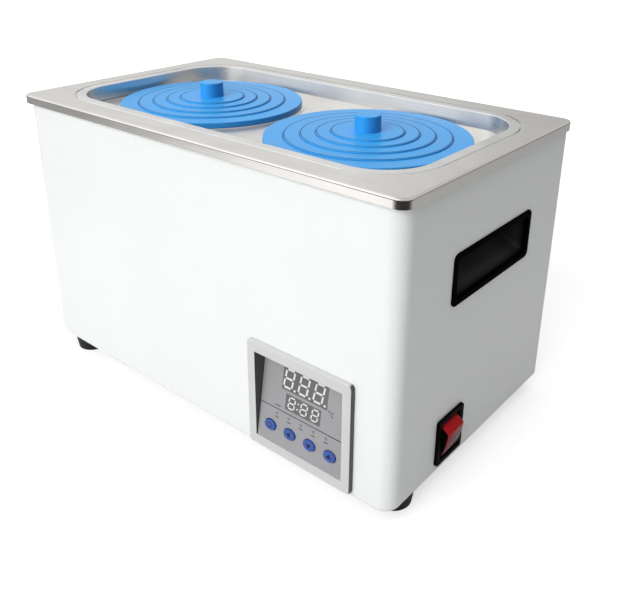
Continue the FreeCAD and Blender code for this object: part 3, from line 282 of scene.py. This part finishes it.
def make_brushing_group():
    """Long fine polishing lines that run along the case, and faint cloudy marks."""
    group, entry, leave = effect_group(
        "brushing", [("Across", 2600.0), ("Along", 18.0), ("Cloud", 22.0)], ["Lines", "Cloud"])
    place = group.nodes.new("ShaderNodeTexCoord").outputs["Object"]
    stretch = group.nodes.new("ShaderNodeCombineXYZ")
    for axis, label in (("X", "Along"), ("Y", "Across"), ("Z", "Across")):
        group.links.new(entry.outputs[label], stretch.inputs[axis])
    lines = group.nodes.new("ShaderNodeTexNoise")
    lines.inputs["Scale"].default_value = 1.0
    lines.inputs["Detail"].default_value = 2.0
    group.links.new(combine(group, "MULTIPLY", place, stretch.outputs["Vector"]),
                    lines.inputs["Vector"])
    cloud = group.nodes.new("ShaderNodeTexNoise")
    cloud.inputs["Detail"].default_value = 5.0
    group.links.new(place, cloud.inputs["Vector"])
    group.links.new(entry.outputs["Cloud"], cloud.inputs["Scale"])
    group.links.new(lines.outputs["Fac"], leave.inputs["Lines"])
    group.links.new(cloud.outputs["Fac"], leave.inputs["Cloud"])
    return group


def group_node(tree, group, **values):
    node = tree.nodes.new("ShaderNodeGroup")
    node.node_tree = group
    for label, value in values.items():
        node.inputs[label].default_value = value
    return node


def tone(tree, source, first, second, socket):
    """Blend two close colours by a noise value."""
    ramp = tree.nodes.new("ShaderNodeValToRGB")
    ends = ramp.color_ramp.elements
    for end, position, colour in ((ends[0], NOISE_LOW, first), (ends[1], NOISE_HIGH, second)):
        end.position = position
        end.color = (*colour, 1)
    tree.links.new(source, ramp.inputs["Fac"])
    tree.links.new(ramp.outputs["Color"], socket)


def shade(colour, factor):
    return tuple(min(1.0, part * factor) for part in colour)


# Finishes

def speckled(name, colour, rough, grain, drift, contrast, relief, metal=0.0, shine=0.5,
             side=None, dark=None, start=0.2, end=0.6):
    """Paint, plastic, rubber or plated metal with a fine texture, and painted shade on one side if
    asked.
    """
    material, tree, shader = new_tree(name)
    effect = group_node(tree, SPECKLE, Grain=grain, Drift=drift)
    colour_in = shader.inputs["Base Color"]
    tone(tree, effect.outputs["Drift"], shade(colour, 1 - contrast), shade(colour, 1 + contrast),
         colour_in)
    # Painted shade: faces that look along side blend towards the dark colour.
    if side:
        surface = tree.nodes.new("ShaderNodeNewGeometry")
        toward = measure(tree, "DOT_PRODUCT", surface.outputs["Normal"], side)
        facing = map_range(tree, toward, start, end)
        plain = colour_in.links[0].from_socket
        tree.links.new(mix(tree, "RGBA", facing, plain, (*dark, 1)), colour_in)
    tree.links.new(map_range(tree, effect.outputs["Drift"], NOISE_LOW, NOISE_HIGH,
                             rough * ROUGH_LOW, rough * ROUGH_HIGH), shader.inputs["Roughness"])
    grained = bump(tree, effect.outputs["Grain"], relief, GRAIN_DEPTH)
    tree.links.new(grained, shader.inputs["Normal"])
    shader.inputs["Metallic"].default_value = metal
    shader.inputs["Specular IOR Level"].default_value = shine
    return material


def brushed(name, colour, flat_rough, wall_rough, waviness, draft=0.0):
    """Stainless sheet: one polish on the flats, another on the walls.

    A draft leans the shading of the walls that look forward, so that they catch the light.
    """
    material, tree, shader = new_tree(name)
    effect = group_node(tree, BRUSHING)
    lines, cloud = effect.outputs["Lines"], effect.outputs["Cloud"]
    tone(tree, lines, shade(colour, LINE_DARK), shade(colour, LINE_PALE),
         shader.inputs["Base Color"])
    normal = tree.nodes.new("ShaderNodeNewGeometry").outputs["Normal"]
    facing = split(tree, normal)
    rough = map_range(tree, facing["Z"], FLAT_START, 1.0, wall_rough, flat_rough)
    smear = map_range(tree, cloud, NOISE_LOW, NOISE_HIGH, SMEAR_LOW, SMEAR_HIGH)
    tree.links.new(calculate(tree, "MULTIPLY", rough, smear), shader.inputs["Roughness"])

    upward = tree.nodes.new("ShaderNodeCombineXYZ")
    tree.links.new(map_range(tree, facing["Y"], 0.0, -1.0, 0.0, draft), upward.inputs["Z"])
    leaned = combine(tree, "NORMALIZE", combine(tree, "ADD", normal, upward.outputs["Vector"]))

    # Upright ripples left by the drawing, and the fine polishing lines over them.
    place = tree.nodes.new("ShaderNodeTexCoord")
    upright = tree.nodes.new("ShaderNodeMapping")
    upright.inputs["Scale"].default_value = RIPPLE_STRETCH
    tree.links.new(place.outputs["Object"], upright.inputs["Vector"])
    ripple = tree.nodes.new("ShaderNodeTexNoise")
    ripple.inputs["Scale"].default_value = RIPPLE_SCALE
    ripple.inputs["Detail"].default_value = 0.5
    tree.links.new(upright.outputs["Vector"], ripple.inputs["Vector"])
    waved = bump(tree, ripple.outputs["Fac"], waviness, RIPPLE_DEPTH, leaned)
    lined = bump(tree, lines, LINE_STRENGTH, LINE_DEPTH, waved)
    tree.links.new(lined, shader.inputs["Normal"])
    shader.inputs["Metallic"].default_value = 1.0
    return material


def grip_plastic():
    """Black moulding of the grips with painted light: the rim is painted darkest, the cup behind it a
    little paler, as if lit.
    """
    material = speckled("grip_plastic", (0.036, 0.036, 0.039), 0.4, 1500, 25, 0.2, 0.05)
    tree = material.node_tree
    shader = next(node for node in tree.nodes if node.type == "BSDF_PRINCIPLED")
    place = split(tree, tree.nodes.new("ShaderNodeTexCoord").outputs["Object"])
    rim = map_range(tree, calculate(tree, "ABSOLUTE", place["X"]), GRIP_MOUTH * MM, GRIP_RIM * MM)
    colour_in = shader.inputs["Base Color"]
    cup = colour_in.links[0].from_socket
    tree.links.new(mix(tree, "RGBA", rim, cup, GRIP_RIM_SHADE_BLACK), colour_in)
    tree.links.new(mix(tree, "FLOAT", rim, GRIP_CUP_SHINE, GRIP_RIM_SHINE),
                   shader.inputs["Specular IOR Level"])
    return material


SPECKLE = make_speckle_group()
BRUSHING = make_brushing_group()

# Finishes by slot. Speckled: name, colour, roughness, grain, drift, contrast and relief.
# Brushed: name, colour, roughness of flats and of walls, waviness and draft.
FINISHES = {
    "white_case": speckled("white_powder_coat", (0.828, 0.852, 0.838), 0.36, 700, 9, 0.012, 0.05,
                           shine=0.4),
    "stainless": brushed("satin_stainless", (0.725, 0.705, 0.68), 0.32, 0.16, 0.3),
    # Painted shade: the faces of the lids and knobs that look to the right are painted a deeper blue.
    "blue_plastic": speckled("blue_lid_plastic", (0.036, 0.345, 0.79), 0.34, 1200, 18, 0.05, 0.04,
                             shine=0.3, side=(1, 0, 0), dark=(0.02, 0.195, 0.52),
                             start=0.25, end=0.95),
    "black_plastic": speckled("black_gloss_plastic", (0.0025, 0.0025, 0.0027), 0.36, 1500, 25, 0.2,
                              0.05, shine=0.01),
    # Painted shade: the faces of the bezel that look to the right are painted near black.
    "bezel_grey": speckled("bezel_plastic", (0.60, 0.60, 0.595), 0.45, 1600, 20, 0.03, 0.12,
                           shine=0.35, side=(1, 0, 0), dark=(0.07, 0.07, 0.07)),
    "panel_grey": speckled("panel_overlay", (0.32, 0.315, 0.33), 0.42, 2200, 25, 0.05, 0.08,
                           shine=0.35),
    "display_dark": speckled("display_face", (0.125, 0.12, 0.122), 0.35, 2500, 60, 0.14, 0.05,
                             shine=0.35),
    "button_blue": speckled("button_plastic", (0.035, 0.085, 0.33), 0.32, 1800, 40, 0.1, 0.04,
                            shine=0.35),
    # Painted shade: the faces of the rocker that look downward are painted a darker red.
    "rocker_red": speckled("red_rocker_plastic", (0.42, 0.01, 0.012), 0.26, 1500, 40, 0.14, 0.03,
                           shine=0.08, side=(0, 0, -1), dark=(0.17, 0.022, 0.032),
                           start=0.08, end=0.18),
    "lamp": speckled("lamp_ends", (0.20, 0.19, 0.20), 0.3, 2000, 60, 0.1, 0.02),
    "rubber_black": speckled("black_rubber", (0.012, 0.012, 0.012), 0.62, 1400, 30, 0.2, 0.25,
                             shine=0.2),
    "screw_steel": speckled("plated_screws", (0.62, 0.62, 0.61), 0.27, 900, 60, 0.08, 0.06,
                            metal=1.0),
    "contact_brass": speckled("plated_contacts", (0.78, 0.62, 0.28), 0.25, 900, 60, 0.08, 0.04,
                              metal=1.0),
    "board_green": speckled("circuit_board", (0.02, 0.17, 0.06), 0.4, 1500, 90, 0.25, 0.1),
    "board_part": speckled("dark_mouldings", (0.05, 0.05, 0.055), 0.45, 1300, 50, 0.2, 0.12),
    "wool": speckled("glass_wool", (0.66, 0.62, 0.48), 0.95, 350, 40, 0.22, 0.9),
}
# Nodes with a finish of their own.
DRAWN_STEEL = brushed("drawn_stainless", (0.76, 0.76, 0.75), 0.32, 0.30, 0.7, 0.19)
GRIP_BLACK = grip_plastic()
SPECIAL = {"tank": DRAWN_STEEL, "left_handle": GRIP_BLACK, "right_handle": GRIP_BLACK}
# Inks, and the dark blue of the painted shade lines on the lids.
SEGMENT_WHITE = speckled("segment_white", (0.80, 0.80, 0.78), 0.4, 2500, 80, 0.05, 0.02)
PRINT_DARK = speckled("print_dark", (0.045, 0.045, 0.055), 0.5, 2500, 80, 0.2, 0.03)
# Painted shade: the dark blue of the lines that stand for the shaded gaps between a lid's pieces.
SHADE_LINE_BLUE = speckled("shade_line_blue", (0.008, 0.05, 0.16), 0.5, 2500, 80, 0.2, 0.03, shine=0.2)
SYMBOL_DARK = speckled("symbol_dark", (0.012, 0.02, 0.07), 0.45, 2500, 80, 0.2, 0.03)


def finish_cad_nodes():
    """Every carried-over CAD node takes the finish of its slot, or its own."""
    for part in frame["record"]["subparts"]:
        mesh = frame["nodes"][part["node"]].data
        mesh.materials.clear()
        mesh.materials.append(SPECIAL.get(part["node"]) or FINISHES[part["material_slot"]])


# Printed strokes, and the lines of painted shade on the lids

def make_stroke_tree():
    """Geometry tree: each line of a drawing becomes a flat bar of one width and depth."""
    tree = bpy.data.node_groups.new("print_and_shade_strokes", "GeometryNodeTree")
    new_socket = tree.interface.new_socket
    new_socket("Geometry", in_out="INPUT", socket_type="NodeSocketGeometry")
    names = {}
    for label in ("Bar Width", "Bar Depth"):
        names[label] = new_socket(label, in_out="INPUT", socket_type="NodeSocketFloat")
    names["Finish"] = new_socket("Finish", in_out="INPUT", socket_type="NodeSocketMaterial")
    new_socket("Geometry", in_out="OUTPUT", socket_type="NodeSocketGeometry")
    entry = tree.nodes.new("NodeGroupInput")
    leave = tree.nodes.new("NodeGroupOutput")
    lines = tree.nodes.new("GeometryNodeMeshToCurve")
    level = tree.nodes.new("GeometryNodeSetCurveNormal")
    level.mode = "Z_UP"
    profile = tree.nodes.new("GeometryNodeCurvePrimitiveQuadrilateral")
    sweep = tree.nodes.new("GeometryNodeCurveToMesh")
    sweep.inputs["Fill Caps"].default_value = True
    realize = tree.nodes.new("GeometryNodeRealizeInstances")
    paint = tree.nodes.new("GeometryNodeSetMaterial")
    link = tree.links.new
    link(entry.outputs["Geometry"], lines.inputs["Mesh"])
    link(lines.outputs["Curve"], level.inputs["Curve"])
    link(level.outputs["Curve"], sweep.inputs["Curve"])
    link(entry.outputs["Bar Width"], profile.inputs["Width"])
    link(entry.outputs["Bar Depth"], profile.inputs["Height"])
    link(profile.outputs["Curve"], sweep.inputs["Profile Curve"])
    link(sweep.outputs["Mesh"], realize.inputs["Geometry"])
    link(realize.outputs["Geometry"], paint.inputs["Geometry"])
    link(entry.outputs["Finish"], paint.inputs["Material"])
    link(paint.outputs["Geometry"], leave.inputs["Geometry"])
    return tree, {label: socket.identifier for label, socket in names.items()}


STROKES, STROKE_INPUTS = make_stroke_tree()


def plate_matrix(out):
    """The drawing plane set on the panel plate, lifted out of it by some millimetres."""
    up = Vector((0, math.sin(PLATE_TILT), math.cos(PLATE_TILT)))
    face = Vector((0, -math.cos(PLATE_TILT), math.sin(PLATE_TILT)))
    turn = Matrix((Vector((1, 0, 0)), up, face)).transposed().to_4x4()
    return Matrix.Translation(PLATE_ORIGIN + face * out * MM) @ turn


def applied(obj):
    """The mesh that an object has with its modifiers, which are then removed."""
    graph = bpy.context.evaluated_depsgraph_get()
    mesh = bpy.data.meshes.new_from_object(obj.evaluated_get(graph))
    obj.modifiers.clear()
    return mesh


def add_object(name, data):
    obj = bpy.data.objects.new(name, data)
    bpy.context.scene.collection.objects.link(obj)
    return obj


def draw_strokes(name, lines, width, finish, matrix, body):
    """A drawing of straight lines, in millimetres, as flat bars that ride on a body: printed marks, or
    lines of painted shade.
    """
    points = []
    edges = []
    for start, end in lines:
        edges.append((len(points), len(points) + 1))
        points.extend((Vector((*start, 0)) * MM, Vector((*end, 0)) * MM))
    mesh = bpy.data.meshes.new(name)
    mesh.from_pydata(points, edges, [])
    obj = add_object(name, mesh)
    modifier = obj.modifiers.new("strokes", "NODES")
    modifier.node_group = STROKES
    modifier[STROKE_INPUTS["Bar Width"]] = width * MM
    modifier[STROKE_INPUTS["Bar Depth"]] = STROKE_DEPTH * MM
    modifier[STROKE_INPUTS["Finish"]] = finish
    bars = applied(obj)
    bars.transform(matrix)
    obj.data = bars
    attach(obj, body)


def digit_lines(middle_x, middle_y, width, height, gap):
    """The seven bars of one slanted digit, with small gaps at their ends."""
    w, h = width / 2, height / 2
    level = [((-w + gap, y), (w - gap, y)) for y in (h, 0, -h)]
    upright = [((x, low + gap), (x, low + h - gap)) for low in (0, -h) for x in (-w, w)]

    def lean(point):
        return (middle_x + point[0] + point[1] * DIGIT_SLANT, middle_y + point[1])
    return [(lean(start), lean(end)) for start, end in level + upright]


def dot_line(x, y, size):
    return ((x - size / 2, y), (x + size / 2, y))


def arc_lines(middle, wide, high, degrees):
    """Short lines along an arc or a ring."""
    turns = [math.radians(angle) for angle in degrees]
    spots = [(middle[0] + wide * math.cos(turn), middle[1] + high * math.sin(turn)) for turn in turns]
    return list(zip(spots, spots[1:]))


def dress_panel():
    """Digits, the divider, small marks on the plate and a symbol on each button."""
    on_display = plate_matrix(DISPLAY_SINK)
    big = []
    for middle in BIG_MIDDLES:
        big += digit_lines(middle + BIG_SHIFT, BIG_UP, BIG_WIDTH, BIG_HEIGHT, BIG_GAP)
        big.append(dot_line(middle + BIG_DOT_X, BIG_UP - BIG_HEIGHT / 2, BIG_DOT))
    draw_strokes("big_digits", big, BIG_BAR, SEGMENT_WHITE, on_display, "chassis")
    small = []
    for middle in SMALL_MIDDLES:
        small += digit_lines(middle, SMALL_UP, SMALL_WIDTH, SMALL_HEIGHT, SMALL_GAP)
    for rise in (-COLON_RISE, COLON_RISE):
        small.append(dot_line(COLON_X + rise * DIGIT_SLANT, SMALL_UP + rise, COLON_DOT))
    draw_strokes("small_digits", small, SMALL_BAR, SEGMENT_WHITE, on_display, "chassis")

    on_plate = plate_matrix(INK_LIFT)
    edge = PLATE_WIDTH / 2
    draw_strokes("panel_divider", [((-edge, DIVIDER_UP), (edge, DIVIDER_UP))], DIVIDER_BAR,
                 PRINT_DARK, on_plate, "chassis")
    marks = [dot_line(step * LAMP_PITCH, LAMP_UP - LAMP_MARK_DROP, 2 * LAMP_MARK_HALF)
             for step in range(-2, 3)]
    draw_strokes("panel_marks", marks + list(LONG_MARKS), MARK_BAR, PRINT_DARK, on_plate,
                 "chassis")
    sign = arc_lines(SIGN_RING, SIGN_RING_RADIUS, SIGN_RING_RADIUS, range(0, 361, 45))
    sign += arc_lines(SIGN_ARC, SIGN_ARC_WIDE, SIGN_ARC_HIGH, range(50, 311, 26))
    draw_strokes("degree_sign", sign, SIGN_BAR, PRINT_DARK, on_plate, "chassis")

    # A small box, and arrows filled by fans of lines.
    fan = [k / 4 for k in range(-4, 5)]
    box = [(-1.6, 1.3), (1.6, 1.3), (1.6, -1.3), (-1.6, -1.3), (-1.6, 1.3)]
    symbols = {
        "set": list(zip(box, box[1:])),
        "left": [((1.2, 1.6 * k), (-1.4, 0)) for k in fan],
        "down": [((1.8 * k, 1.1), (0, -1.4)) for k in fan],
        "up": [((1.8 * k, -1.1), (0, 1.4)) for k in fan],
    }
    on_button = plate_matrix(BUTTON_PROUD + INK_LIFT)
    for step, (name, lines) in enumerate(symbols.items()):
        x = (step - 1.5) * BUTTON_PITCH
        moved = [((x + a, BUTTON_UP + b), (x + c, BUTTON_UP + d)) for (a, b), (c, d) in lines]
        draw_strokes("symbol_" + name, moved, SYMBOL_BAR, SYMBOL_DARK, on_button,
                     "button_" + name)


def draw_shade_lines():
    """A line of painted shade around the edge of each nested piece, where the gap between the pieces is
    shaded.
    """
    turn = [360 * k / SHADE_LINE_STEPS for k in range(SHADE_LINE_STEPS + 1)]
    for side, middle in (("left", -LID_X), ("right", LID_X)):
        for name, body, radius in NESTED:
            node = frame["nodes"]["%s_%s" % (side, name)]
            top = max((node.matrix_world @ vertex.co).z for vertex in node.data.vertices)
            loop = radius - SHADE_LINE_IN
            draw_strokes("%s_%s_seam" % (side, name), arc_lines((middle, 0), loop, loop, turn),
                         SHADE_LINE_WIDTH, SHADE_LINE_BLUE, Matrix.Translation((0, 0, top)),
                         "%s_%s" % (side, body))


# Rocker

def dished(start, end):
    """Points of a face that is hollowed a little for the finger, without its last point."""
    run = end - start
    inward = Vector((-run.y, run.x)).normalized()
    steps = [k / DISH_STEPS for k in range(DISH_STEPS)]
    return [start + run * k + inward * FINGER_DISH * math.sin(math.pi * k) for k in steps]


def rocker_block():
    """The cap's outline, drawn out to its width."""
    spots = dished(ROCKER_TOP, ROCKER_RIDGE) + dished(ROCKER_RIDGE, ROCKER_FOOT)
    spots += [ROCKER_FOOT, *ROCKER_BACK]
    spots.reverse()
    shape = bmesh.new()
    rows = [[shape.verts.new((spot.x * MM, y * MM, spot.y * MM)) for spot in spots]
            for y in (-ROCKER_HALF, ROCKER_HALF)]
    shape.faces.new(rows[0])
    shape.faces.new(rows[1][::-1])
    for k in range(len(spots)):
        after = (k + 1) % len(spots)
        shape.faces.new((rows[0][k], rows[1][k], rows[1][after], rows[0][after]))
    bmesh.ops.recalc_face_normals(shape, faces=shape.faces)
    mesh = bpy.data.meshes.new("rocker_cap")
    shape.to_mesh(mesh)
    shape.free()
    return mesh


def add_pins(mesh):
    """The two pins that the rocker turns on."""
    shape = bmesh.new()
    shape.from_mesh(mesh)
    inner = ROCKER_HALF - PIN_SINK
    lie = Matrix.Rotation(math.pi / 2, 4, "X")
    for side in (-1, 1):
        middle = Matrix.Translation((0, side * (inner + PIN_END) / 2 * MM, 0))
        bmesh.ops.create_cone(shape, cap_ends=True, segments=PIN_SIDES, radius1=PIN_RADIUS * MM,
                              radius2=PIN_RADIUS * MM, depth=(PIN_END - inner) * MM,
                              matrix=middle @ lie)
    shape.to_mesh(mesh)
    shape.free()


def build_rocker():
    """The switch's cap: two dished red faces that meet in a ridge, black cheeks and two pins."""
    obj = add_object("rocker_cap", rocker_block())
    soft = obj.modifiers.new("soft_edges", "BEVEL")
    soft.width = ROCKER_EDGE * MM
    soft.segments = EDGE_STEPS
    soft.limit_method = "ANGLE"
    soft.angle_limit = EDGE_ANGLE
    mesh = applied(obj)
    add_pins(mesh)
    mesh.transform(Matrix.Translation(ROCKER_PIVOT))
    mesh.shade_smooth()
    mesh.set_sharp_from_angle(angle=SHARP_ANGLE)
    mesh.materials.clear()
    mesh.materials.append(FINISHES["rocker_red"])
    mesh.materials.append(FINISHES["black_plastic"])
    for face in mesh.polygons:
        face.material_index = 1 if abs(face.normal.y) > CHEEK_FACING else 0
    obj.data = mesh
    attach(obj, "rocker")
    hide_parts("switch_rocker")


# Stage

def floor_material():
    """Pale floor that reads white to the camera and still takes the object's shadow."""
    material, tree, shader = new_tree("pale_floor")
    shader.inputs["Roughness"].default_value = 0.9
    shader.inputs["Specular IOR Level"].default_value = 0.1
    shader.inputs["Emission Color"].default_value = (1, 1, 1, 1)
    place = tree.nodes.new("ShaderNodeTexCoord").outputs["Object"]
    path = tree.nodes.new("ShaderNodeLightPath")
    glossy = path.outputs["Is Glossy Ray"]
    across = split(tree, place)["X"]

    # Far from the lamps the floor fades to the white of the background.
    lift = map_range(tree, measure(tree, "LENGTH", place), *FLOOR_LIFT)
    shown = calculate(tree, "MULTIPLY", path.outputs["Is Camera Ray"], lift)

    # In reflections the room beyond the front right corner is dark.
    corner = map_range(tree, measure(tree, "DOT_PRODUCT", place, CORNER_SIDE), *CORNER_FADE)
    dark = calculate(tree, "MULTIPLY", corner, glossy)

    # In reflections the floor is brighter in front of the object than to its sides.
    mirrored = calculate(tree, "MULTIPLY", map_range(tree, across, *FLOOR_LEFT),
                         map_range(tree, across, *FLOOR_RIGHT))
    grey = mix(tree, "FLOAT", glossy, FLOOR_GREY, mirrored)
    tree.links.new(mix(tree, "RGBA", dark, grey, CORNER_DARK), shader.inputs["Base Color"])
    glow = calculate(tree, "MULTIPLY", map_range(tree, across, *GLOW_LEFT),
                     map_range(tree, across, *GLOW_RIGHT))
    lit = calculate(tree, "SUBTRACT", glossy, dark)
    tree.links.new(calculate(tree, "MULTIPLY_ADD", glow, lit, shown),
                   shader.inputs["Emission Strength"])
    return material


def studio_world():
    """White to the camera, dim as a lamp, and for reflections a bright room with a dark low side."""
    world = bpy.data.worlds.new("studio")
    world.use_nodes = True
    tree = world.node_tree
    back = tree.nodes["Background"]
    back.inputs["Color"].default_value = (1, 1, 1, 1)
    path = tree.nodes.new("ShaderNodeLightPath")
    place = tree.nodes.new("ShaderNodeTexCoord").outputs["Generated"]
    parts = split(tree, place)

    # The room is brighter upward and towards the left.
    rise = map_range(tree, parts["Z"], *ROOM_RISE)
    slope = map_range(tree, parts["X"], *ROOM_SLOPE)
    level = calculate(tree, "MULTIPLY", rise, slope)

    # A soft box at the front left, as polished metal shows it.
    glow = map_range(tree, measure(tree, "DOT_PRODUCT", place, SOFT_BOX_SIDE), *SOFT_BOX_FADE)
    room = calculate(tree, "ADD", level, glow)
    mirrored = mix(tree, "FLOAT", path.outputs["Is Glossy Ray"], ROOM_DIM, room)
    seen = mix(tree, "FLOAT", path.outputs["Is Camera Ray"], mirrored, 1.0)
    tree.links.new(seen, back.inputs["Strength"])
    return world


def add_lamps():
    for name, place, aim, size, power in LAMPS:
        data = bpy.data.lights.new(name, "AREA")
        data.shape = "SQUARE"
        data.size = size
        data.energy = power
        lamp = add_object(name, data)
        lamp.location = place
        lamp.visible_glossy = False
        lamp.rotation_euler = (Vector(aim) - Vector(place)).to_track_quat("-Z", "Y").to_euler()


def add_camera():
    back = Vector((math.sin(CAMERA_AZIMUTH) * math.cos(CAMERA_ELEVATION),
                   -math.cos(CAMERA_AZIMUTH) * math.cos(CAMERA_ELEVATION),
                   math.sin(CAMERA_ELEVATION)))
    level = Vector((math.cos(CAMERA_AZIMUTH), math.sin(CAMERA_AZIMUTH), 0))
    upward = back.cross(level)
    right = level * math.cos(CAMERA_ROLL) + upward * math.sin(CAMERA_ROLL)
    above = upward * math.cos(CAMERA_ROLL) - level * math.sin(CAMERA_ROLL)
    data = bpy.data.cameras.new("photo_camera")
    data.lens = LENS
    data.sensor_width = SENSOR_WIDTH
    data.sensor_fit = "HORIZONTAL"
    data.shift_x = SHIFT_X
    data.shift_y = SHIFT_Y
    camera = add_object("photo_camera", data)
    place = CAMERA_TARGET + back * CAMERA_DISTANCE + right * CAMERA_SIDE + above * CAMERA_RISE
    turn = Matrix((right, above, back)).transposed().to_4x4()
    camera.matrix_world = Matrix.Translation(place) @ turn
    bpy.context.scene.camera = camera


def build_stage():
    """Pale floor, soft light from the front and above, and the matching camera."""
    mesh = bpy.data.meshes.new("floor")
    corners = [(-1, -1), (1, -1), (1, 1), (-1, 1)]
    spots = [(x * FLOOR_REACH, y * FLOOR_REACH, 0) for x, y in corners]
    mesh.from_pydata(spots, [], [(0, 1, 2, 3)])
    mesh.materials.append(floor_material())
    floor = add_object("floor", mesh)
    add_lamps()
    bpy.context.scene.world = studio_world()
    add_camera()
    bpy.context.scene.view_settings.view_transform = "Standard"


finish_cad_nodes()
dress_panel()
draw_shade_lines()
build_rocker()
build_stage()
